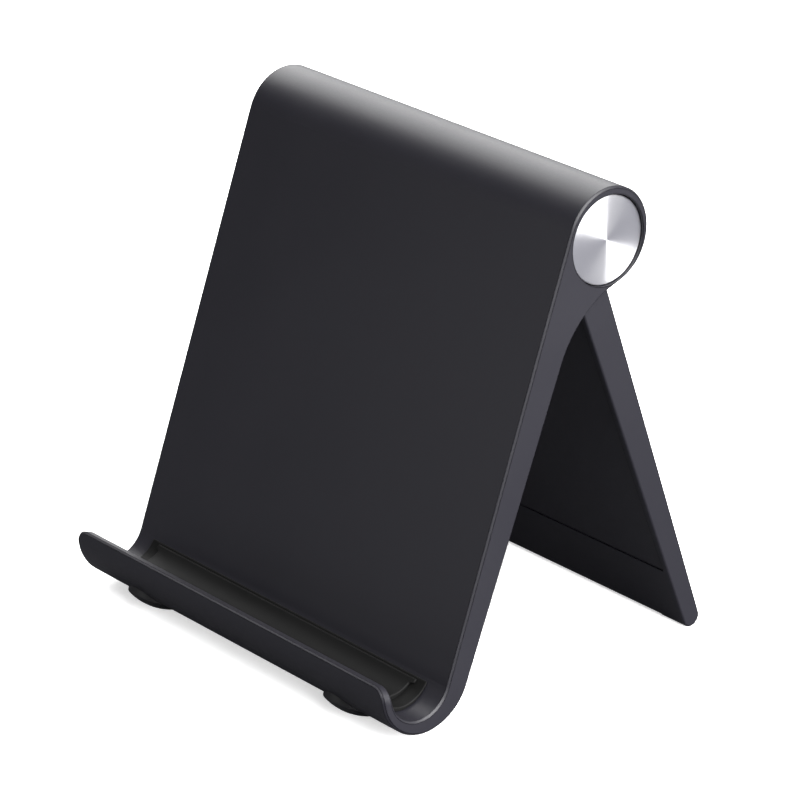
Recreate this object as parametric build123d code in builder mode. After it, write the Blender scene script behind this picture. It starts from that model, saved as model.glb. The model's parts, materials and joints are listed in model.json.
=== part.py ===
from build123d import *
from math import acos, asin, atan2, cos, degrees, hypot, radians, sin, sqrt
import os

# Folding phone stand. Millimetres. X runs along the hinge, Y towards the back, Z up.
# The origin is on the surface the stand rests on, under the middle of its outer box.
# Side profiles are drawn on planes with their origin on the hinge axis: the first
# coordinate points back from the leaf (or leg), the second up along it.

# ---- front leaf
width = 80.0              # overall, along the hinge
panel_length = 74.4       # hinge axis to the centre of the hook's groove, along the panel
barrel_r = 8.3            # outside of the barrel, which the panel's front is tangent to
panel_t = 1.15            # wall of the panel and of the barrel
lean = 19.3               # the panel's lean from upright, degrees
rim_t = 2.4               # thickness of the side rims
rim_root = 1.9            # the rims' rear edge starts this far in front of the hinge axis
flare_r = 18.0            # hollow curve from the cheek down into the rim
edge_chamfer = 0.35       # along the outline of both side faces and of the lip

# ---- hook
groove_r = 5.8            # inside of the hook
hook_outer_r = 9.0
hook_floor_t = 2.3        # wall under the groove
lip_t = 2.2               # wall in front of the groove
lip_below = 0.8           # the lip ends this far below the groove's centre
lip_corner_r = 2.4        # rounded ends of the lip

# ---- silicone pad and feet
pad_t = 1.55              # thickness at the bottom of the groove
pad_edge_t = 0.6          # thickness at both edges
pad_inset = 4.5           # side face to the pad's end
pad_wrap_back = 84.0      # angle from the groove's bottom to the pad's edge on the panel, degrees
pad_wrap_lip = 68.0       # the same to its edge on the lip
foot_inset = 14.3         # side face to the middle of a foot
foot_r = 5.2
foot_h = 1.15             # how far the feet hold the hook off the desk
foot_crown = 0.15         # extra height that the flat on the foot takes off
foot_sunk = 0.8           # depth of the foot's recess
foot_gap = 0.1            # round the foot in its recess

# ---- rear leg
leg_past = 4.4            # the leg reaches this far past the groove's centre when folded
leg_root_t = 6.25         # thickness at the hinge axis
leg_tip_t = 3.5           # thickness where the tip's rounding begins
leg_gap = 0.2             # hub to barrel, and folded leg to panel
leg_side_gap = 0.8        # leg to side rim
leg_skin = 1.4            # outer wall of the leg
leg_rim = 1.2             # raised rim round the cover
leg_ledge = 0.8           # ledge inside the rim, which the cover lies on
leg_edge_r = 0.35
tip_room = 0.5            # between the folded tip and the end of its nest
open_max = 100.0          # widest opening, degrees
stop_angle = 4.0          # left between the leg and the barrel's rear edge at that opening

# ---- leg cover and ribs
cover_t = 1.2
cover_sunk = 0.15         # the rim stands this much proud of the cover
cover_gap = 0.05          # round the cover in its rebate
cover_top = 9.0           # hinge axis to the cover's upper edge, along the leg
cover_foot = 12.8         # its lower edge to the end of the leg
hollow_top = 1.5          # cover's upper edge to the hollow under it
hollow_foot = 6.0         # the same at its lower edge
rib_t = 1.2
rib_count = 5             # ribs along the leg
cross_rib_count = 2
strip_inset = 5.8         # leg's side to the end of the silicone strip in its tip
strip_depth = 1.3

# ---- end cap and hinge hardware, measured inwards from the side faces
cap_ring = 0.8            # wall round the cap's recess
cap_gap = 0.15            # round the cap in its recess
cap_t = 1.2
cap_bevel = 0.25
cap_sunk = 0.45           # the cap lies this far below the side face
cap_drop = 0.5            # the cap's centre is this far below the hinge axis
tape_t = 0.3
tape_edge = 0.55          # the tape's outer edge is this far inside the cap's
tape_hole = 0.8           # its inner edge is this far outside the well
head_clear = 0.3          # between the tape and the screw's head
head_rim = 1.2            # head beyond the shoulder
head_t = 1.6
socket_r = 1.25           # hexagon socket in the head
socket_depth = 0.9
shoulder_r = 2.0
thread_step = 0.5         # shoulder beyond the thread
thread_length = 7.0
spring_t = 0.3            # sheet of the coned washer
spring_h = 0.6            # its height as fitted
spring_edge = 0.3         # its rim inside the flat washer's
washer_t = 0.5
washer_rim = 1.7          # flat washer beyond the shoulder
washer_gap = 0.1          # washers on the shoulder
well_gap = 0.4            # round the washers in the cheek's well
boss_floor = 1.6          # plastic between the well and the bush's flange
sleeve_t = 0.75           # wall of the bush
flange_edge = 0.95        # the bush's flange inside the hub's outside
flange_t = 0.6
running_gap = 0.05        # shoulder in the bush
insert_t = 0.8            # wall of the brass insert
insert_spare = 1.0        # insert beyond the end of the thread
pocket_count = 4          # pockets that thin the hub
pocket_wall = 1.4         # least wall beside a pocket
pocket_floor_t = 1.3      # plastic between a pocket and the inserts' bore
boss_clear = 0.3          # between the cheek's boss and the leg round it

# ---- worked out from the above
half = width / 2
nest_half = half - rim_t
leg_half = nest_half - leg_side_gap
barrel_in = barrel_r - panel_t
hub_r = barrel_in - leg_gap

# The groove touches the panel's front. The outside of the hook is one arc as well.
groove_reach = barrel_r + groove_r
hook_reach = groove_reach + groove_r + lip_t - hook_outer_r
hook_drop = panel_length + groove_r + hook_floor_t - hook_outer_r
lip_drop = panel_length + lip_below
lean_sin = sin(radians(lean))
lean_cos = cos(radians(lean))
hinge_h = hook_drop * lean_cos - hook_reach * lean_sin + hook_outer_r + foot_h

# The leg's rounded end is one arc, as wide as the leg is thick there.
leg_length = panel_length + leg_past
tip_r = leg_tip_t / 2
tip_along = leg_length - tip_r
tip_in = hub_r - tip_r

# The leg leans until its tip and the feet touch the same level.
tip_reach = hypot(tip_along, tip_in)
leg_lean = degrees(atan2(tip_in, tip_along) + acos((hinge_h - tip_r) / tip_reach))
opening = lean + leg_lean

# The hinge axis is placed so that the middle of the outer box is at Y = 0.
front_reach = hook_drop * lean_sin + hook_reach * lean_cos + hook_outer_r
back_reach = tip_along * sin(radians(leg_lean)) - tip_in * cos(radians(leg_lean)) + tip_r
hinge_y = (front_reach - back_reach) / 2

# Stack of the hinge hardware, as distances in from the side face.
recess_depth = cap_sunk + cap_t + tape_t
head_from = recess_depth + head_clear
spring_from = head_from + head_t
washer_from = spring_from + spring_h
well_depth = washer_from + washer_t
boss_depth = well_depth + boss_floor
hub_from = boss_depth + flange_t
hub_half = half - hub_from

# Radii of the same stack.
recess_r = barrel_r - cap_ring
cap_r = recess_r - cap_gap
thread_r = shoulder_r - thread_step
washer_r = shoulder_r + washer_rim
spring_r = washer_r - spring_edge
well_r = washer_r + well_gap
washer_bore_r = shoulder_r + washer_gap
bush_bore_r = shoulder_r + running_gap
sleeve_r = bush_bore_r + sleeve_t
insert_r = thread_r + insert_t
insert_length = thread_length + insert_spare


def side_plane(tilt, x=0.0):
    """Plane across the hinge axis at x, its second axis tilted back by tilt degrees."""
    back = (0, cos(radians(tilt)), -sin(radians(tilt)))
    return Plane(origin=(x, hinge_y, hinge_h), x_dir=back, z_dir=(1, 0, 0))


def rear_tangent(root, reach, drop, r):
    """Where a line from root in front of the axis touches the rear of an arc further down."""
    rise = reach - root
    angle = atan2(rise, drop) - asin(r / hypot(rise, drop))
    return (-reach + r * cos(angle), -drop - r * sin(angle))


def down_plane(x, centre):
    """Plane at a point of the side profile, facing down along the leaf."""
    across = side_plane(lean, x)
    point = across.from_local_coords((centre[0], centre[1], 0))
    return Plane(origin=point, x_dir=(1, 0, 0), z_dir=-across.y_dir)


def groove_point(r, angle):
    """Point of the side profile r from the groove's centre, angle degrees back from its bottom."""
    return (-groove_reach + r * sin(radians(angle)), -panel_length - r * cos(radians(angle)))


def keep(piece, name):
    piece.part.label = name
    export_step(piece.part, "parts/" + name + ".step")


os.makedirs("parts", exist_ok=True)
sides = {"left": -1, "right": 1}

# ---- front leaf
hook_centre = (-hook_reach, -hook_drop)
groove_centre = (-groove_reach, -panel_length)
rim_end = rear_tangent(rim_root, hook_reach, hook_drop, hook_outer_r)
lip_out = -hook_reach - sqrt(hook_outer_r**2 - (lip_drop - hook_drop) ** 2)
lip_in = -groove_reach - sqrt(groove_r**2 - lip_below**2)

# The barrel's wall ends behind, clear of the leg at its widest opening.
leg_out = hub_r - leg_root_t
shell_end = open_max - degrees(asin(leg_out / barrel_r)) + stop_angle
shell_rise = barrel_r * sin(radians(shell_end - 90))
nest_end = leg_length + tip_room

with BuildPart() as foot_recess:
    for side in sides.values():
        x = side * (half - foot_inset)
        with BuildSketch(down_plane(x, hook_centre)):
            Circle(foot_r + foot_gap)
        extrude(amount=hook_outer_r * 2)
    with BuildSketch(side_plane(lean)):
        with Locations(hook_centre):
            Circle(hook_outer_r - foot_sunk)
    extrude(amount=half, both=True, mode=Mode.SUBTRACT)

with BuildPart() as front_leaf:
    with BuildSketch(side_plane(lean)):
        with BuildLine():
            Line((-barrel_r, 0), (-barrel_r, -panel_length))
            ThreePointArc(
                (-barrel_r, -panel_length),
                (-groove_reach, -panel_length - groove_r),
                (lip_in, -lip_drop),
            )
            Line((lip_in, -lip_drop), (lip_out, -lip_drop))
            ThreePointArc(
                (lip_out, -lip_drop),
                (-hook_reach, -hook_drop - hook_outer_r),
                rim_end,
            )
            Line(rim_end, (-rim_root, 0))
            Line((-rim_root, 0), (-barrel_r, 0))
        make_face()
        Circle(barrel_r)
        fillet(vertices().sort_by_distance((-rim_root, -barrel_r))[0], flare_r)
    extrude(amount=half, both=True)

    # Rounded lip.
    lip_point = side_plane(lean).from_local_coords(((lip_in + lip_out) / 2, -lip_drop, 0))
    lip_face = faces().sort_by_distance(lip_point)[0]
    fillet(lip_face.edges().filter_by(Axis.X, reverse=True), lip_corner_r)

    # Nest for the folded leg between the rims, round the cheeks' bosses.
    with BuildSketch(side_plane(lean)):
        with BuildLine():
            Polyline(
                (-barrel_in, 0),
                (-barrel_in, -nest_end),
                (barrel_r * 2, -nest_end),
                (barrel_r * 2, shell_rise * 2),
                (0, 0),
                (-barrel_in, 0),
            )
        make_face()
        Circle(barrel_in, mode=Mode.SUBTRACT)
    extrude(amount=nest_half, both=True, mode=Mode.SUBTRACT)
    with BuildSketch(side_plane(lean)):
        Circle(barrel_in)
    extrude(amount=half - boss_depth, both=True, mode=Mode.SUBTRACT)

    for side in sides.values():
        face = side_plane(lean, side * half)
        with BuildSketch(face):
            with Locations((0, -cap_drop)):
                Circle(recess_r)
        extrude(amount=-side * recess_depth, mode=Mode.SUBTRACT)
        with BuildSketch(face):
            Circle(well_r)
        extrude(amount=-side * well_depth, mode=Mode.SUBTRACT)
        with BuildSketch(face):
            Circle(sleeve_r)
        extrude(amount=-side * boss_depth, mode=Mode.SUBTRACT)
    add(foot_recess.part, mode=Mode.SUBTRACT)

    side_faces = faces().sort_by(Axis.X)
    chamfer(side_faces[0].outer_wire().edges() + side_faces[-1].outer_wire().edges(), edge_chamfer)
keep(front_leaf, "front_leaf")

# ---- hook pad and feet
with BuildPart() as hook_pad:
    with BuildSketch(side_plane(lean)):
        with BuildLine():
            outer = CenterArc(groove_centre, groove_r, 270 - pad_wrap_lip, pad_wrap_lip + pad_wrap_back)
            inner = ThreePointArc(
                groove_point(groove_r - pad_edge_t, -pad_wrap_lip),
                groove_point(groove_r - pad_t, 0),
                groove_point(groove_r - pad_edge_t, pad_wrap_back),
            )
            Line(outer @ 0, inner @ 0)
            Line(outer @ 1, inner @ 1)
        make_face()
    extrude(amount=half - pad_inset, both=True)
keep(hook_pad, "hook_pad")

for name, side in sides.items():
    x = side * (half - foot_inset)
    with BuildPart() as foot:
        with BuildSketch(down_plane(x, hook_centre)):
            Circle(foot_r)
        extrude(amount=hook_outer_r * 2)
        with BuildSketch(side_plane(lean, x)):
            with Locations(hook_centre):
                Circle(hook_outer_r + foot_h + foot_crown)
                Circle(hook_outer_r - foot_sunk, mode=Mode.SUBTRACT)
        extrude(amount=foot_r * 2, both=True, mode=Mode.INTERSECT)
        split(bisect_by=Plane.XY, keep=Keep.TOP)
    keep(foot, "foot_" + name)

# ---- rear leg
leg_tilt = -leg_lean
tip_centre = (-tip_in, -tip_along)
tip_rear = rear_tangent(leg_out, tip_in, tip_along, tip_r)
out_slope = (leg_out + tip_rear[0]) / tip_rear[1]
ledge_back = -(hub_r - cover_sunk - cover_t)
cover_end = leg_length - cover_foot
cavity_top = cover_top + hollow_top
cavity_end = cover_end - hollow_foot
rebate_half = leg_half - leg_rim
hollow_half = rebate_half - leg_ledge


def hollow_points(top, end):
    """Corners, in side view, of the leg's hollow between two distances along it."""
    floor_top = -leg_out - out_slope * top - leg_skin
    floor_end = -leg_out - out_slope * end - leg_skin
    return [(ledge_back, -top), (ledge_back, -end), (floor_end, -end), (floor_top, -top)]


def spread(start, end, count):
    """Evenly spaced places between two ends, with neither end among them."""
    return [start + (end - start) * (i + 1) / (count + 1) for i in range(count)]


with BuildPart() as rear_leg:
    with BuildSketch(side_plane(leg_tilt)):
        with BuildLine():
            Polyline((-leg_out, 0), (-hub_r, 0), (-hub_r, -tip_along))
            ThreePointArc((-hub_r, -tip_along), (-tip_in, -leg_length), tip_rear)
            Line(tip_rear, (-leg_out, 0))
        make_face()
    extrude(amount=leg_half, both=True)
    side_faces = faces().sort_by(Axis.X)
    fillet(side_faces[0].outer_wire().edges() + side_faces[-1].outer_wire().edges(), leg_edge_r)

    # Hub, and the plate's upper corners cut clear of the cheeks' bosses on either side of it.
    for side in sides.values():
        with BuildSketch(side_plane(leg_tilt, side * half)):
            Circle(barrel_in + boss_clear)
        extrude(amount=-side * (half - hub_half), mode=Mode.SUBTRACT)
    with BuildSketch(side_plane(leg_tilt)):
        Circle(hub_r)
    extrude(amount=hub_half, both=True)

    # Rebate for the cover, the hollow under it, and the ribs that carry it.
    with BuildSketch(side_plane(leg_tilt)):
        with Locations((ledge_back, -cover_top + cover_gap)):
            rebate_length = cover_end - cover_top + 2 * cover_gap
            Rectangle(cover_t * 2, rebate_length, align=(Align.MAX, Align.MAX))
    extrude(amount=rebate_half, both=True, mode=Mode.SUBTRACT)
    with BuildSketch(side_plane(leg_tilt)):
        Polygon(*hollow_points(cavity_top, cavity_end), align=None)
    extrude(amount=hollow_half, both=True, mode=Mode.SUBTRACT)
    for x in spread(-hollow_half, hollow_half, rib_count):
        with BuildSketch(side_plane(leg_tilt, x)):
            Polygon(*hollow_points(cavity_top, cavity_end), align=None)
        extrude(amount=rib_t / 2, both=True)
    for along in spread(cavity_top, cavity_end, cross_rib_count):
        with BuildSketch(side_plane(leg_tilt)):
            Polygon(*hollow_points(along - rib_t / 2, along + rib_t / 2), align=None)
        extrude(amount=hollow_half, both=True)

    # Pockets that thin the hub between the inserts, on the side the barrel always hides.
    pocket_end = hub_half - insert_length - rib_t
    pocket_pitch = 2 * pocket_end / pocket_count
    pocket_floor = insert_r + pocket_floor_t
    pocket_half = sqrt((hub_r - pocket_wall) ** 2 - pocket_floor**2)
    for i in range(pocket_count):
        x = -pocket_end + (i + 0.5) * pocket_pitch
        with BuildSketch(side_plane(leg_tilt, x)):
            with Locations((0, pocket_floor)):
                Rectangle(2 * pocket_half, hub_r, align=(Align.CENTER, Align.MIN))
        extrude(amount=(pocket_pitch - rib_t) / 2, both=True, mode=Mode.SUBTRACT)

    # Bore for the inserts, and the seat of the silicone strip.
    with BuildSketch(side_plane(leg_tilt)):
        Circle(insert_r)
    extrude(amount=hub_half, both=True, mode=Mode.SUBTRACT)
    with BuildSketch(side_plane(leg_tilt)):
        with Locations((-tip_in, -leg_length + strip_depth)):
            Rectangle(leg_tip_t * 2, leg_tip_t, align=(Align.CENTER, Align.MAX))
    extrude(amount=leg_half - strip_inset, both=True, mode=Mode.SUBTRACT)
keep(rear_leg, "rear_leg")

with BuildPart() as leg_foot:
    with BuildSketch(side_plane(leg_tilt)):
        with Locations(tip_centre):
            Circle(tip_r)
        with Locations((-tip_in, -leg_length + strip_depth)):
            above = (Align.CENTER, Align.MIN)
            Rectangle(leg_tip_t * 2, leg_tip_t, align=above, mode=Mode.SUBTRACT)
    extrude(amount=leg_half - strip_inset, both=True)
keep(leg_foot, "leg_foot")

with BuildPart() as leg_cover:
    with BuildSketch(side_plane(leg_tilt)):
        with Locations((ledge_back, -cover_top)):
            Rectangle(cover_t, cover_end - cover_top, align=(Align.MAX, Align.MAX))
    extrude(amount=rebate_half - cover_gap, both=True)
keep(leg_cover, "leg_cover")

# ---- end caps and hinge hardware, the same on both sides
for name, side in sides.items():
    with BuildPart() as end_cap:
        with BuildSketch(side_plane(lean, side * (half - cap_sunk))):
            with Locations((0, -cap_drop)):
                Circle(cap_r)
        extrude(amount=-side * cap_t)
        outer_face = faces().sort_by(Axis.X)[-1 if side > 0 else 0]
        chamfer(outer_face.edges(), cap_bevel)
    keep(end_cap, "end_cap_" + name)

    with BuildPart() as cap_tape:
        with BuildSketch(side_plane(lean, side * (half - cap_sunk - cap_t))):
            with Locations((0, -cap_drop)):
                Circle(cap_r - tape_edge)
            Circle(well_r + tape_hole, mode=Mode.SUBTRACT)
        extrude(amount=-side * tape_t)
    keep(cap_tape, "cap_tape_" + name)

    with BuildPart() as pivot_screw:
        with BuildSketch(side_plane(leg_tilt, side * (half - head_from))):
            Circle(shoulder_r + head_rim)
        extrude(amount=-side * head_t)
        with BuildSketch(side_plane(leg_tilt, side * (half - head_from))):
            RegularPolygon(socket_r, 6)
        extrude(amount=-side * socket_depth, mode=Mode.SUBTRACT)
        with BuildSketch(side_plane(leg_tilt, side * (half - spring_from))):
            Circle(shoulder_r)
        extrude(amount=-side * (hub_from - spring_from))
        with BuildSketch(side_plane(leg_tilt, side * hub_half)):
            Circle(thread_r)
        extrude(amount=-side * thread_length)
    keep(pivot_screw, "pivot_screw_" + name)

    with BuildPart() as spring_washer:
        start = (side * (half - spring_from), hinge_y, hinge_h)
        with BuildSketch(Plane(origin=start, x_dir=(-side, 0, 0), z_dir=(0, 1, 0))):
            with BuildLine():
                Polyline(
                    (0, washer_bore_r),
                    (spring_t, washer_bore_r),
                    (spring_h, spring_r),
                    (spring_h - spring_t, spring_r),
                    (0, washer_bore_r),
                )
            make_face()
        revolve(axis=Axis((0, hinge_y, hinge_h), (1, 0, 0)))
    keep(spring_washer, "spring_washer_" + name)

    with BuildPart() as flat_washer:
        with BuildSketch(side_plane(lean, side * (half - washer_from))):
            Circle(washer_r)
            Circle(washer_bore_r, mode=Mode.SUBTRACT)
        extrude(amount=-side * washer_t)
    keep(flat_washer, "flat_washer_" + name)

    with BuildPart() as pivot_bush:
        with BuildSketch(side_plane(lean, side * (half - well_depth))):
            Circle(sleeve_r)
        extrude(amount=-side * boss_floor)
        with BuildSketch(side_plane(lean, side * (half - boss_depth))):
            Circle(hub_r - flange_edge)
        extrude(amount=-side * flange_t)
        with BuildSketch(side_plane(lean, side * half)):
            Circle(bush_bore_r)
        extrude(amount=-side * hub_from, mode=Mode.SUBTRACT)
    keep(pivot_bush, "pivot_bush_" + name)

    with BuildPart() as thread_insert:
        with BuildSketch(side_plane(leg_tilt, side * hub_half)):
            Circle(insert_r)
            Circle(thread_r, mode=Mode.SUBTRACT)
        extrude(amount=-side * insert_length)
    keep(thread_insert, "thread_insert_" + name)

print("hinge axis at y, z", round(hinge_y, 3), round(hinge_h, 3))
print("opening", round(opening, 3), "leg lean", round(leg_lean, 3), "hub half length", round(hub_half, 3))
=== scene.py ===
import json
from math import atan2, cos, degrees, pi, radians, sin

import bpy
from mathutils import Matrix, Vector


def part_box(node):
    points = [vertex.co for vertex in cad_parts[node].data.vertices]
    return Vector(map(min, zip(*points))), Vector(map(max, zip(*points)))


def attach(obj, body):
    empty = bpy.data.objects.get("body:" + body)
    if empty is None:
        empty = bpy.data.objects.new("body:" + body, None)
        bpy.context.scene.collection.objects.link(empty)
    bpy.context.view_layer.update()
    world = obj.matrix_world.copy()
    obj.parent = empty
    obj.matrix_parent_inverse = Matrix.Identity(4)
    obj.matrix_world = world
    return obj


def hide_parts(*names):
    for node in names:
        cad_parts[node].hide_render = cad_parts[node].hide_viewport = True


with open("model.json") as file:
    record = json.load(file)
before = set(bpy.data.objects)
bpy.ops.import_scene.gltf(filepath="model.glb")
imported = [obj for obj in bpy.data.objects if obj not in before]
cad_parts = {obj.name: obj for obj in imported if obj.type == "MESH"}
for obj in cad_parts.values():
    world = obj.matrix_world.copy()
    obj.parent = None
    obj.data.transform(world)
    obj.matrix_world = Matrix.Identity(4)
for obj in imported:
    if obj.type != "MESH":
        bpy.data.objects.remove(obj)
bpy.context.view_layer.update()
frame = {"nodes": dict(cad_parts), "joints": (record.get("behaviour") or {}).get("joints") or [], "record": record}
nodes = frame["nodes"]
mounts = {m["name"]: m for m in frame["record"]["mounts"]}
hinge = frame["joints"][0]
hingeAt = Vector(hinge["pos_m"])
print("stand loaded,", len(nodes), "CAD nodes")

# the leaf leans back from upright, and grooveAt is the middle of the phone's groove
restAxis = mounts["phone_rest"]["axis"]
leafLean = atan2(restAxis[2], -restAxis[1])
legLean = radians(-hinge["range_deg"][0]) - leafLean
grooveAt = Vector(mounts["phone_groove"]["pos_m"])
leafDown = Vector((0, -sin(leafLean), -cos(leafLean)))
leafBack = Vector((0, cos(leafLean), -sin(leafLean)))
legDown = Vector((0, sin(legLean), -cos(legLean)))


weldWithin = 0.000002      # points nearer than this are one
onPlaneWithin = 0.000001   # points nearer than this to a cut are on it


# helpers that every piece below uses
def startPiece(name):
    piece = bpy.context.object
    piece.name = name
    piece.data.name = name
    return piece


def deselectAll():
    bpy.ops.object.select_all(action="DESELECT")


def only(piece):
    deselectAll()
    piece.select_set(True)
    bpy.context.view_layer.objects.active = piece


def pick(piece, kind, wanted):
    # goes into edit mode with just the wanted vertices, edges or faces selected
    only(piece)
    mesh = piece.data
    for part in (mesh.vertices, mesh.edges, mesh.polygons):
        part.foreach_set("select", [False] * len(part))
    parts = {"VERT": mesh.vertices, "EDGE": mesh.edges, "FACE": mesh.polygons}[kind]
    for item in parts:
        item.select = bool(wanted(item))
    bpy.context.tool_settings.mesh_select_mode = (kind == "VERT", kind == "EDGE", kind == "FACE")
    bpy.ops.object.mode_set(mode="EDIT")


def done():
    bpy.ops.object.mode_set(mode="OBJECT")


def edgeMiddle(mesh, edge):
    a, b = edge.vertices
    return (mesh.vertices[a].co + mesh.vertices[b].co) / 2


def settle(piece):
    # the object goes to the origin, unturned and unscaled, with its place in its mesh
    only(piece)
    bpy.ops.object.transform_apply(location=True, rotation=True, scale=True)


def roundEdges(piece, width, segments=3, angle=40):
    only(piece)
    mod = piece.modifiers.new("rounding", "BEVEL")
    mod.width = width
    mod.segments = segments
    mod.limit_method = "ANGLE"
    mod.angle_limit = radians(angle)
    mod.harden_normals = False
    bpy.ops.object.modifier_apply(modifier=mod.name)


def cutWith(piece, tool, operation):
    only(piece)
    mod = piece.modifiers.new("cut", "BOOLEAN")
    mod.operation = operation
    mod.solver = "EXACT"
    mod.object = tool
    bpy.ops.object.modifier_apply(modifier=mod.name)


def tidyMesh(piece, angle=35):
    pick(piece, "VERT", lambda v: True)
    bpy.ops.mesh.remove_doubles(threshold=weldWithin)
    bpy.ops.mesh.normals_make_consistent(inside=False)
    done()
    bpy.ops.object.shade_smooth_by_angle(angle=radians(angle))


# helpers for materials and node groups
def newMaterial(name):
    mat = bpy.data.materials.new(name)
    mat.use_nodes = True
    tree = mat.node_tree
    shader = tree.nodes["Principled BSDF"]
    return mat, tree, shader


def place(tree, kind, x, y, **values):
    node = tree.nodes.new(kind)
    node.location = (x, y)
    for key, value in values.items():
        setattr(node, key, value)
    return node


def setInputs(node, **values):
    for key, value in values.items():
        node.inputs[key].default_value = value


def newGroup(name, takes, gives):
    group = bpy.data.node_groups.new(name, "ShaderNodeTree")
    for label, kind, value in takes:
        socket = group.interface.new_socket(label, in_out="INPUT", socket_type=kind)
        if value is not None:
            socket.default_value = value
    for label, kind in gives:
        group.interface.new_socket(label, in_out="OUTPUT", socket_type=kind)
    return group, place(group, "NodeGroupInput", -900, 0), place(group, "NodeGroupOutput", 700, 0)


def useGroup(tree, group, x, y, **values):
    node = place(tree, "ShaderNodeGroup", x, y, node_tree=group)
    setInputs(node, **values)
    return node


# surface grain: a fine moulded grain over a slow drift, for colour, roughness and bump
def makeGrainGroup():
    group, inn, out = newGroup(
        "mouldedGrain",
        [("GrainSize", "NodeSocketFloat", 0.0004), ("DriftSize", "NodeSocketFloat", 0.02),
         ("Dark", "NodeSocketColor", None), ("Light", "NodeSocketColor", None),
         ("RoughLow", "NodeSocketFloat", 0.4), ("RoughHigh", "NodeSocketFloat", 0.5)],
        [("Color", "NodeSocketColor"), ("Roughness", "NodeSocketFloat"), ("Height", "NodeSocketFloat")])
    link = group.links.new
    coord = place(group, "ShaderNodeTexCoord", -900, 300)
    fineScale = place(group, "ShaderNodeMath", -700, 100, operation="DIVIDE")
    fineScale.inputs[0].default_value = 1.0
    link(inn.outputs["GrainSize"], fineScale.inputs[1])
    slowScale = place(group, "ShaderNodeMath", -700, -100, operation="DIVIDE")
    slowScale.inputs[0].default_value = 1.0
    link(inn.outputs["DriftSize"], slowScale.inputs[1])
    fine = place(group, "ShaderNodeTexNoise", -500, 200)
    setInputs(fine, Detail=3.0, Roughness=0.6)
    link(coord.outputs["Object"], fine.inputs["Vector"])
    link(fineScale.outputs[0], fine.inputs["Scale"])
    slow = place(group, "ShaderNodeTexNoise", -500, -100)
    setInputs(slow, Detail=2.0, Roughness=0.5)
    link(coord.outputs["Object"], slow.inputs["Vector"])
    link(slowScale.outputs[0], slow.inputs["Scale"])
    both = place(group, "ShaderNodeMix", -250, 50, data_type="FLOAT")
    both.inputs[0].default_value = 0.5
    link(slow.outputs["Fac"], both.inputs[2])
    link(fine.outputs["Fac"], both.inputs[3])
    tint = place(group, "ShaderNodeMix", 100, 200, data_type="RGBA")
    link(both.outputs[0], tint.inputs[0])
    link(inn.outputs["Dark"], tint.inputs[6])
    link(inn.outputs["Light"], tint.inputs[7])
    rough = place(group, "ShaderNodeMapRange", 100, -50)
    setInputs(rough, **{"From Min": 0.3, "From Max": 0.7})
    link(both.outputs[0], rough.inputs["Value"])
    link(inn.outputs["RoughLow"], rough.inputs["To Min"])
    link(inn.outputs["RoughHigh"], rough.inputs["To Max"])
    link(tint.outputs[2], out.inputs["Color"])
    link(rough.outputs["Result"], out.inputs["Roughness"])
    link(fine.outputs["Fac"], out.inputs["Height"])
    return group


# edge wear and painted shade: a mask that is light only along sharp edges, broken up a little, for rubbed edge
# wear on rubber, silicone and metal, and for a painted shade line along the plastic's edges
def makeEdgeGroup():
    group, inn, out = newGroup(
        "edgeWearAndShadeMask",
        [("Width", "NodeSocketFloat", 0.0003), ("Breakup", "NodeSocketFloat", 600.0)],
        [("Mask", "NodeSocketFloat"), ("Edge", "NodeSocketFloat")])
    link = group.links.new
    soft = place(group, "ShaderNodeBevel", -600, 100)
    soft.samples = 4
    link(inn.outputs["Width"], soft.inputs["Radius"])
    flat = place(group, "ShaderNodeNewGeometry", -600, -100)
    dot = place(group, "ShaderNodeVectorMath", -350, 0, operation="DOT_PRODUCT")
    link(soft.outputs["Normal"], dot.inputs[0])
    link(flat.outputs["Normal"], dot.inputs[1])
    ramp = place(group, "ShaderNodeMapRange", -100, 0)
    setInputs(ramp, **{"From Min": 0.998, "From Max": 0.95, "To Min": 0.0, "To Max": 1.0})
    link(dot.outputs["Value"], ramp.inputs["Value"])
    coord = place(group, "ShaderNodeTexCoord", -800, -300)
    noise = place(group, "ShaderNodeTexNoise", -600, -300)
    link(coord.outputs["Object"], noise.inputs["Vector"])
    link(inn.outputs["Breakup"], noise.inputs["Scale"])
    mask = place(group, "ShaderNodeMath", 150, 0, operation="MULTIPLY")
    link(ramp.outputs["Result"], mask.inputs[0])
    link(noise.outputs["Fac"], mask.inputs[1])
    link(mask.outputs[0], out.inputs["Mask"])
    link(ramp.outputs["Result"], out.inputs["Edge"])
    return group


grainGroup = makeGrainGroup()
edgeGroup = makeEdgeGroup()


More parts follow.
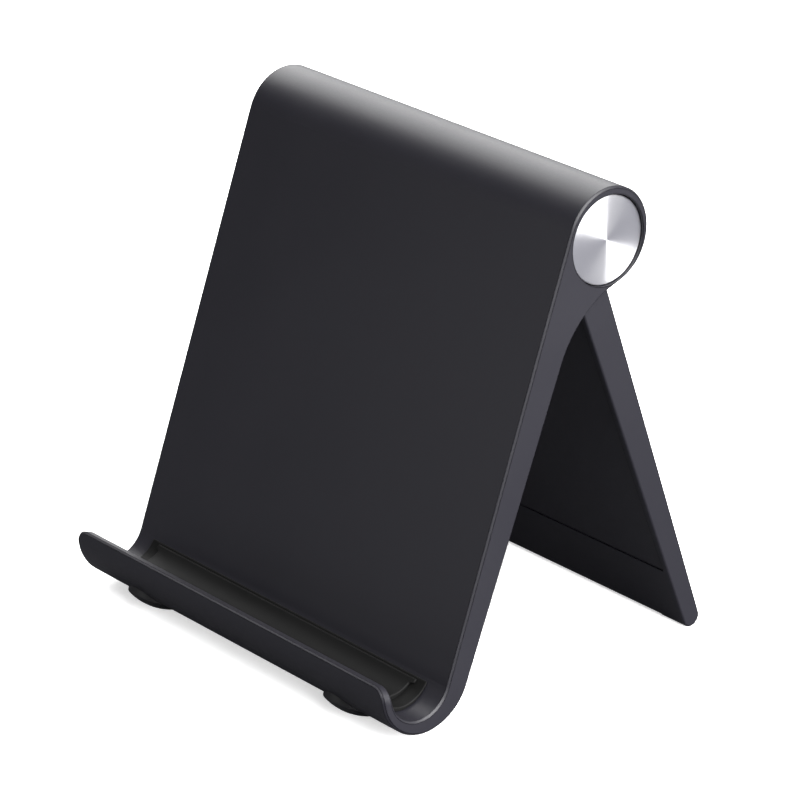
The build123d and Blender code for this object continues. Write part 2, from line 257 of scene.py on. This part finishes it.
def surface(name, look):
    # a moulded or rubber finish from the two groups, with its constants on the shader itself
    mat, tree, shader = newMaterial(name)
    link = tree.links.new
    grain = useGroup(tree, grainGroup, -600, 200, GrainSize=look["grain"], DriftSize=look["drift"],
                     Dark=(*look["dark"], 1), Light=(*look["light"], 1),
                     RoughLow=look["rough"][0], RoughHigh=look["rough"][1])
    edges = useGroup(tree, edgeGroup, -600, -150, Width=look["edge"])
    # edge colour: a lighter rubbed edge on rubber, silicone and metal, and painted shade, a darker line, on the
    # plastic
    edgeWearAndShadeMix = place(tree, "ShaderNodeMix", -250, 200, data_type="RGBA")
    edgeWearAndShadeMix.inputs[7].default_value = (*look["edgeWearAndShade"], 1)
    link(edges.outputs["Mask"], edgeWearAndShadeMix.inputs[0])
    link(grain.outputs["Color"], edgeWearAndShadeMix.inputs[6])
    link(edgeWearAndShadeMix.outputs[2], shader.inputs["Base Color"])
    link(grain.outputs["Roughness"], shader.inputs["Roughness"])
    bump = place(tree, "ShaderNodeBump", -250, -150)
    setInputs(bump, Strength=look["bump"], Distance=look["bumpDepth"])
    link(grain.outputs["Height"], bump.inputs["Height"])
    link(bump.outputs["Normal"], shader.inputs["Normal"])
    shader.inputs["Specular IOR Level"].default_value = look["specular"]
    shader.inputs["Metallic"].default_value = look.get("metal", 0.0)
    if look.get("paintedDarkEdges"):
        # painted shade: along sharp edges the plastic is made metallic over its near-black base, so it mirrors
        # next to nothing there and reads as a thin dark line
        link(edges.outputs["Edge"], shader.inputs["Metallic"])
    return mat


plasticLook = {
    # the edge colour here is darker than the body: painted shade along every edge
    "dark": (0.0044, 0.0041, 0.0074), "light": (0.0074, 0.0069, 0.0106), "edgeWearAndShade": (0.0015, 0.0015, 0.0018),
    "rough": (0.44, 0.52), "grain": 0.00035, "drift": 0.025, "edge": 0.0003,
    # the last entry turns the sharp edges metallic: painted shade, a thin dark line along them
    "bump": 0.25, "bumpDepth": 0.00002, "specular": 0.45, "paintedDarkEdges": True,
}
siliconeLook = {
    "dark": (0.0030, 0.0030, 0.0030), "light": (0.0060, 0.0060, 0.0059), "edgeWearAndShade": (0.014, 0.014, 0.014),
    "rough": (0.50, 0.62), "grain": 0.0005, "drift": 0.012, "edge": 0.0002,
    "bump": 0.3, "bumpDepth": 0.00003, "specular": 0.08,
}
rubberLook = {
    "dark": (0.004, 0.004, 0.0045), "light": (0.008, 0.008, 0.0085), "edgeWearAndShade": (0.02, 0.02, 0.021),
    "rough": (0.42, 0.55), "grain": 0.0004, "drift": 0.006, "edge": 0.0002,
    "bump": 0.3, "bumpDepth": 0.00003, "specular": 0.4,
}
steelLook = {
    "dark": (0.42, 0.42, 0.43), "light": (0.60, 0.60, 0.61), "edgeWearAndShade": (0.8, 0.8, 0.8),
    "rough": (0.25, 0.4), "grain": 0.0006, "drift": 0.004, "edge": 0.0001,
    "bump": 0.1, "bumpDepth": 0.00001, "specular": 0.5, "metal": 1.0,
}
brassLook = {
    "dark": (0.55, 0.38, 0.13), "light": (0.72, 0.52, 0.2), "edgeWearAndShade": (0.85, 0.7, 0.4),
    "rough": (0.25, 0.4), "grain": 0.0005, "drift": 0.004, "edge": 0.0001,
    "bump": 0.1, "bumpDepth": 0.00001, "specular": 0.5, "metal": 1.0,
}
acetalLook = {
    "dark": (0.66, 0.64, 0.58), "light": (0.75, 0.73, 0.67), "edgeWearAndShade": (0.8, 0.79, 0.75),
    "rough": (0.3, 0.4), "grain": 0.0004, "drift": 0.005, "edge": 0.0001,
    "bump": 0.1, "bumpDepth": 0.00001, "specular": 0.5,
}
foamLook = {
    "dark": (0.015, 0.015, 0.015), "light": (0.03, 0.03, 0.03), "edgeWearAndShade": (0.04, 0.04, 0.04),
    "rough": (0.8, 0.95), "grain": 0.0003, "drift": 0.003, "edge": 0.0001,
    "bump": 0.5, "bumpDepth": 0.00005, "specular": 0.3,
}


def makeTurnedMetal(look, centre):
    # face turned in fine circles, so its sheen falls in opposite sectors
    mat, tree, shader = newMaterial("turnedAluminium")
    link = tree.links.new
    coord = place(tree, "ShaderNodeTexCoord", -1300, 200)
    shift = place(tree, "ShaderNodeVectorMath", -1100, 200, operation="SUBTRACT")
    shift.inputs[1].default_value = (0, centre.y, centre.z)
    link(coord.outputs["Object"], shift.inputs[0])
    flat = place(tree, "ShaderNodeVectorMath", -900, 200, operation="MULTIPLY")
    flat.inputs[1].default_value = (0, 1, 1)
    link(shift.outputs[0], flat.inputs[0])
    reach = place(tree, "ShaderNodeVectorMath", -700, 200, operation="LENGTH")
    link(flat.outputs[0], reach.inputs[0])
    rings = place(tree, "ShaderNodeTexNoise", -450, 200, noise_dimensions="1D")
    setInputs(rings, Scale=1 / look["pitch"], Detail=3.0, Roughness=0.7)
    link(reach.outputs["Value"], rings.inputs["W"])
    colour = place(tree, "ShaderNodeMix", -150, 350, data_type="RGBA")
    colour.inputs[6].default_value = (*look["dark"], 1)
    colour.inputs[7].default_value = (*look["light"], 1)
    link(rings.outputs["Fac"], colour.inputs[0])
    link(colour.outputs[2], shader.inputs["Base Color"])
    rough = place(tree, "ShaderNodeMapRange", -150, 100)
    setInputs(rough, **{"To Min": look["rough"][0], "To Max": look["rough"][1]})
    link(rings.outputs["Fac"], rough.inputs["Value"])
    link(rough.outputs["Result"], shader.inputs["Roughness"])
    bump = place(tree, "ShaderNodeBump", -150, -150)
    setInputs(bump, Strength=look["bump"], Distance=look["bumpDepth"])
    link(rings.outputs["Fac"], bump.inputs["Height"])
    link(bump.outputs["Normal"], shader.inputs["Normal"])
    tangent = place(tree, "ShaderNodeTangent", -150, -350, direction_type="RADIAL", axis="X")
    link(tangent.outputs["Tangent"], shader.inputs["Tangent"])
    setInputs(shader, **{"Metallic": 1.0, "Anisotropic": look["anisotropy"], "Anisotropic Rotation": 0.25})
    return mat


leafPlastic = surface("leafPlastic", plasticLook)
legPlastic = surface("legPlastic", plasticLook)
padSilicone = surface("padSilicone", siliconeLook)
footRubber = surface("footRubber", rubberLook)
hingeSteel = surface("hingeSteel", steelLook)
insertBrass = surface("insertBrass", brassLook)
bushAcetal = surface("bushAcetal", acetalLook)
tapeFoam = surface("tapeFoam", foamLook)
print("finishes made")


def paint(piece, mat):
    piece.data.materials.clear()
    piece.data.materials.append(mat)


cadFinish = {
    "front_leaf": leafPlastic, "rear_leg": legPlastic, "leg_cover": legPlastic,
    "cap_tape_": tapeFoam, "flat_washer_": hingeSteel, "spring_washer_": hingeSteel,
    "pivot_screw_": hingeSteel, "pivot_bush_": bushAcetal, "thread_insert_": insertBrass,
}
for start, mat in cadFinish.items():
    for name, node in nodes.items():
        if name.startswith(start):
            paint(node, mat)
print("CAD nodes finished")


# the silicone pad in the hook
hookPad = {
    "baseThickness": 0.45,     # share of the pad's thickness that is the lower layer
    "wrapLip": 68.0,           # degrees round the groove from its bottom to each edge
    "wrapBack": 84.0,
    "steps": 38,
    "bottom": 0.00155,         # thickness at the bottom of the groove, and at the edges
    "edgeThickness": 0.0006,
    "topEnd": 0.0326,          # middle of the stand to the upper layer's end
    "tab": (70, 82, 0.0009),   # small tab on the upper layer's end: from, to, outward
    "topShort": 0.0004,        # the upper layer's edges stop this far inside the lower one's
    "edge": 0.00018,
    "thinning": 1.7,           # how late the thickness falls off towards the edges
    "overlap": 0.05,           # share of the thickness by which the layers run into each other
}


def grooveAngle(point):
    # degrees round the groove from its bottom, positive towards the panel
    arm = Vector(point) - grooveAt
    arm.x = 0
    return degrees(atan2(arm.dot(leafBack), arm.dot(leafDown)))


def padThickness(angle):
    # thickest at the groove's bottom and thin at both edges
    reach = hookPad["wrapBack"] if angle > 0 else hookPad["wrapLip"]
    share = min(abs(angle) / reach, 1.0)
    return hookPad["bottom"] + (hookPad["edgeThickness"] - hookPad["bottom"]) * share ** hookPad["thinning"]


def makeStrip(name, outer, halfLength, low, high):
    # a flat strip at the lip's edge of the groove is swept round it
    thick = hookPad["edgeThickness"]
    start = radians(low)
    arm = leafDown * cos(start) + leafBack * sin(start)
    bpy.ops.mesh.primitive_plane_add(size=1, location=grooveAt + arm * (outer - thick / 2))
    piece = startPiece(name)
    piece.rotation_euler = (atan2(arm.z, arm.y), 0, 0)
    piece.scale = (2 * halfLength, thick, 1)
    settle(piece)
    pick(piece, "FACE", lambda f: True)
    turn = leafBack.cross(leafDown)
    bpy.ops.mesh.spin(steps=hookPad["steps"], angle=radians(high - low), center=grooveAt, axis=turn)
    done()
    return piece


def shapeStrip(piece, outer, inside, outside):
    # the swept strip's inner and outer sides are moved to the pad's real section
    middle = outer - hookPad["edgeThickness"] / 2
    for vert in piece.data.vertices:
        arm = Vector((0, vert.co.y, vert.co.z)) - Vector((0, grooveAt.y, grooveAt.z))
        angle = grooveAngle(vert.co)
        side = inside if arm.length < middle else outside
        reach = outer - padThickness(angle) * side
        arm = arm.normalized() * reach
        vert.co.y = grooveAt.y + arm.y
        vert.co.z = grooveAt.z + arm.z


def makeHookPad():
    low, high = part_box("hook_pad")
    outer = grooveAt.z - low.z
    wrapLip, wrapBack = hookPad["wrapLip"], hookPad["wrapBack"]
    base = makeStrip("hookPadBase", outer, high.x, -wrapLip, wrapBack)
    shapeStrip(base, outer, hookPad["baseThickness"], 0)
    short = degrees(hookPad["topShort"] / outer)
    top = makeStrip("hookPad", outer, hookPad["topEnd"], short - wrapLip, wrapBack - short)
    shapeStrip(top, outer, 1.0, hookPad["baseThickness"] - hookPad["overlap"])
    tabLow, tabHigh, out = hookPad["tab"]
    for side in (-1, 1):
        pick(top, "VERT", lambda v: v.co.x * side > hookPad["topEnd"] - 0.001
             and tabLow <= grooveAngle(v.co) <= tabHigh)
        bpy.ops.transform.translate(value=(side * out, 0, 0))
        done()
    for piece in (base, top):
        tidyMesh(piece)
        roundEdges(piece, hookPad["edge"])
        tidyMesh(piece, 50)
        paint(piece, padSilicone)
        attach(piece, "leaf")
        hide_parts("hook_pad")


makeHookPad()
print("hook pad made")


# the two domed rubber feet under the hook
foot = {
    "sides": 72,
    "sunk": 0.0008,
    "hookRadius": 0.009,
    "standing": 0.00115,       # desk to the hook's underside
    "crown": 0.0096,           # the button is domed to this radius
    "cutOff": 0.0003,          # and its foot is cut level this far above the dome's lowest point
    "length": 0.02,            # of the plain button before it is cut to shape
    "domeSides": (120, 60),
    "seatSides": 180,
    "seatLength": 0.03,
    "voxel": 0.00016,
    "smooth": 0.5,
    "passes": 6,
}


def makeFoot(name, label):
    low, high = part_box(name)
    x = (low.x + high.x) / 2
    radius = (high.x - low.x) / 2
    # the hook's outside is an arc about a point straight above the foot's flat
    domeAt = Vector((x, mounts[label]["pos_m"][1], foot["crown"] - foot["cutOff"]))
    hookAt = Vector((x, domeAt.y, foot["standing"] + foot["hookRadius"]))
    bpy.ops.mesh.primitive_cylinder_add(vertices=foot["sides"], radius=radius, depth=foot["length"],
                                        location=hookAt + leafDown * foot["length"] / 2,
                                        rotation=(-leafLean, 0, 0))
    piece = startPiece("rubberFoot_" + name[5:])
    settle(piece)
    around, rings = foot["domeSides"]
    bpy.ops.mesh.primitive_uv_sphere_add(segments=around, ring_count=rings, radius=foot["crown"],
                                         location=domeAt)
    dome = startPiece("cutter")
    settle(dome)
    cutWith(piece, dome, "INTERSECT")
    bpy.ops.mesh.primitive_cylinder_add(vertices=foot["seatSides"], radius=foot["hookRadius"] - foot["sunk"],
                                        depth=foot["seatLength"], location=hookAt, rotation=(0, pi / 2, 0))
    seat = startPiece("cutter")
    settle(seat)
    cutWith(piece, seat, "DIFFERENCE")
    for tool in (dome, seat):
        bpy.data.objects.remove(tool)
    # remeshed and relaxed, the button's rim turns over softly, and its foot is cut level after
    only(piece)
    mod = piece.modifiers.new("remesh", "REMESH")
    mod.mode = "VOXEL"
    mod.voxel_size = foot["voxel"]
    bpy.ops.object.modifier_apply(modifier=mod.name)
    mod = piece.modifiers.new("relax", "SMOOTH")
    mod.factor = foot["smooth"]
    mod.iterations = foot["passes"]
    bpy.ops.object.modifier_apply(modifier=mod.name)
    pick(piece, "FACE", lambda f: True)
    bpy.ops.mesh.bisect(plane_co=(0, 0, 0), plane_no=(0, 0, 1), use_fill=True, clear_inner=True,
                        threshold=onPlaneWithin)
    done()
    tidyMesh(piece, 50)
    paint(piece, footRubber)
    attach(piece, "leaf")
    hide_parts(name)


makeFoot("foot_left", "foot_flat_left")
makeFoot("foot_right", "foot_flat_right")
print("feet made")


# the silicone strip in the leg's tip
tipStrip = {"radius": 0.0015, "sides": 48, "seat": 0.0013, "edge": 0.0002}


def makeTipStrip():
    low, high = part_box("leg_foot")
    # the strip's round end touches the same level as the feet
    at = Vector((0, 0, 0))
    at.z = tipStrip["radius"]
    at.y = high.y - tipStrip["radius"]
    bpy.ops.mesh.primitive_cylinder_add(vertices=tipStrip["sides"], radius=tipStrip["radius"],
                                        depth=high.x - low.x, location=at, rotation=(0, pi / 2, 0))
    piece = startPiece("legTipStrip")
    settle(piece)
    seat = at + legDown * (tipStrip["radius"] - tipStrip["seat"])
    pick(piece, "FACE", lambda f: True)
    bpy.ops.mesh.bisect(plane_co=seat, plane_no=legDown, use_fill=True, clear_inner=True,
                        threshold=onPlaneWithin)
    done()
    tidyMesh(piece)
    roundEdges(piece, tipStrip["edge"], angle=50)
    tidyMesh(piece, 45)
    paint(piece, footRubber)
    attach(piece, "leg")
    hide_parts("leg_foot")


makeTipStrip()
print("leg tip strip made")


# the turned discs in the cheeks
endCap = {
    "sides": 160,
    "bevel": 0.00022,
    "rings": 5,
    "ringStep": 0.0013,
    "ringDip": 0.000004,
}
turnedLook = {
    "dark": (0.90, 0.90, 0.92), "light": (0.98, 0.98, 0.99), "rough": (0.315, 0.395),
    "pitch": 0.00012, "bump": 0.15, "bumpDepth": 0.00001, "anisotropy": 0.92,
}


def makeEndCap(name, mat):
    low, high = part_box(name)
    middle = (low + high) / 2
    radius = (high.z - low.z) / 2
    side = 1 if middle.x > 0 else -1
    bpy.ops.mesh.primitive_cylinder_add(vertices=endCap["sides"], radius=radius, depth=high.x - low.x,
                                        location=middle, rotation=(0, pi / 2, 0))
    piece = startPiece("endCapDisc_" + name[8:])
    settle(piece)
    outside = high.x if side > 0 else low.x
    mesh = piece.data
    pick(piece, "EDGE", lambda e: abs(edgeMiddle(mesh, e).x - outside) < 0.00001)
    bpy.ops.mesh.bevel(offset=endCap["bevel"], segments=4, affect="EDGES")
    done()
    face = max(piece.data.polygons, key=lambda f: f.normal.x * side * f.area)
    wanted = face.index
    pick(piece, "FACE", lambda f: f.index == wanted)
    for ring in range(endCap["rings"]):
        # each ring of the face sits a hair lower or higher than the last
        bpy.ops.mesh.inset(thickness=endCap["ringStep"])
        dip = endCap["ringDip"] if ring % 2 else -endCap["ringDip"]
        bpy.ops.transform.translate(value=(side * dip, 0, 0))
    done()
    tidyMesh(piece, 40)
    paint(piece, mat)
    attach(piece, "leaf")
    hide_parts(name)


capMiddle = (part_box("end_cap_right")[0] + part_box("end_cap_right")[1]) / 2
turnedAluminium = makeTurnedMetal(turnedLook, capMiddle)
makeEndCap("end_cap_left", turnedAluminium)
makeEndCap("end_cap_right", turnedAluminium)
print("end caps made")


# camera, floor and lights
view = {
    "fromHinge": (0.48186, -0.41804, 0.22303),
    "towards": (-0.70445, 0.59874, -0.38114),
    "roll": 0.25,          # degrees
    "lens": 187.6,
    "sensor": 36,
    "clip": 0.01,
}


def makeCamera():
    data = bpy.data.cameras.new("frontRightCamera")
    data.lens = view["lens"]
    data.sensor_width = view["sensor"]
    data.clip_start = view["clip"]
    camera = bpy.data.objects.new("frontRightCamera", data)
    bpy.context.scene.collection.objects.link(camera)
    turn = Vector(view["towards"]).to_track_quat("-Z", "Y").to_matrix().to_4x4()
    roll = Matrix.Rotation(radians(view["roll"]), 4, "Z")
    camera.matrix_world = Matrix.Translation(hingeAt + Vector(view["fromHinge"])) @ turn @ roll
    bpy.context.scene.camera = camera


floorLook = {
    "size": 8.0,
    "seen": (0.97, 0.97, 0.97),
    "bounced": (0.10, 0.10, 0.11),
    "lift": 0.55,              # glow where it is looked at, which keeps the shadow faint
    "rough": 0.9,
}


def makeFloor():
    # pale where it is looked at, and dimmer where the dark plastic mirrors it
    deselectAll()
    bpy.ops.mesh.primitive_plane_add(size=floorLook["size"], location=(0, 0, 0))
    floor = startPiece("studioFloor")
    mat, tree, shader = newMaterial("paleFloor")
    rays = place(tree, "ShaderNodeLightPath", -500, 200)
    mix = place(tree, "ShaderNodeMix", -250, 100, data_type="RGBA")
    mix.inputs[6].default_value = (*floorLook["bounced"], 1)
    mix.inputs[7].default_value = (*floorLook["seen"], 1)
    tree.links.new(rays.outputs["Is Camera Ray"], mix.inputs[0])
    tree.links.new(mix.outputs[2], shader.inputs["Base Color"])
    lift = place(tree, "ShaderNodeMath", -250, -100, operation="MULTIPLY")
    lift.inputs[1].default_value = floorLook["lift"]
    tree.links.new(rays.outputs["Is Camera Ray"], lift.inputs[0])
    tree.links.new(lift.outputs[0], shader.inputs["Emission Strength"])
    setInputs(shader, **{"Emission Color": (1, 1, 1, 1)})
    setInputs(shader, **{"Roughness": floorLook["rough"], "Specular IOR Level": 0.0})
    paint(floor, mat)


softLights = {
    # name: place, aimed at, width, height, power
    "topLight": ((0.0, 0.10, 1.10), (0, 0, 0.04), 1.0, 1.0, 9.0),
    "gleamLight": ((-0.78, 0.50, 0.68), (0, 0, 0.07), 1.0, 1.0, 16.0),
    "sideLight": ((0.78, 0.05, 0.50), (0, 0, 0.06), 1.1, 0.8, 45.0),
    "backLight": ((0.50, 1.20, 0.35), (0, 0, 0.05), 1.2, 0.7, 3.0),
    "frontLight": ((-0.08, -0.25, 0.11), (0.04, 0, 0.06), 0.15, 0.15, 0.11),
}
sky = {"light": 0.09, "seen": 1.0}


def makeLights():
    for name, (at, target, width, depth, power) in softLights.items():
        data = bpy.data.lights.new(name, "AREA")
        data.shape = "RECTANGLE"
        data.size = width
        data.size_y = depth
        data.energy = power
        lamp = bpy.data.objects.new(name, data)
        lamp.location = at
        lamp.rotation_euler = (Vector(target) - Vector(at)).to_track_quat("-Z", "Y").to_euler()
        bpy.context.scene.collection.objects.link(lamp)
        lamp.visible_camera = False
    world = bpy.data.worlds.new("studioSky")
    world.use_nodes = True
    bpy.context.scene.world = world
    tree = world.node_tree
    link = tree.links.new
    glow = tree.nodes["Background"]
    setInputs(glow, Color=(1, 1, 1, 1), Strength=sky["light"])
    seen = place(tree, "ShaderNodeBackground", 0, -200)
    setInputs(seen, Color=(1, 1, 1, 1), Strength=sky["seen"])
    rays = place(tree, "ShaderNodeLightPath", -200, 300)
    mix = place(tree, "ShaderNodeMixShader", 200, 0)
    link(rays.outputs["Is Camera Ray"], mix.inputs[0])
    link(glow.outputs[0], mix.inputs[1])
    link(seen.outputs[0], mix.inputs[2])
    link(mix.outputs[0], tree.nodes["World Output"].inputs["Surface"])


makeCamera()
makeFloor()
makeLights()
bpy.context.scene.view_settings.view_transform = "Standard"
print("camera, floor and lights made")
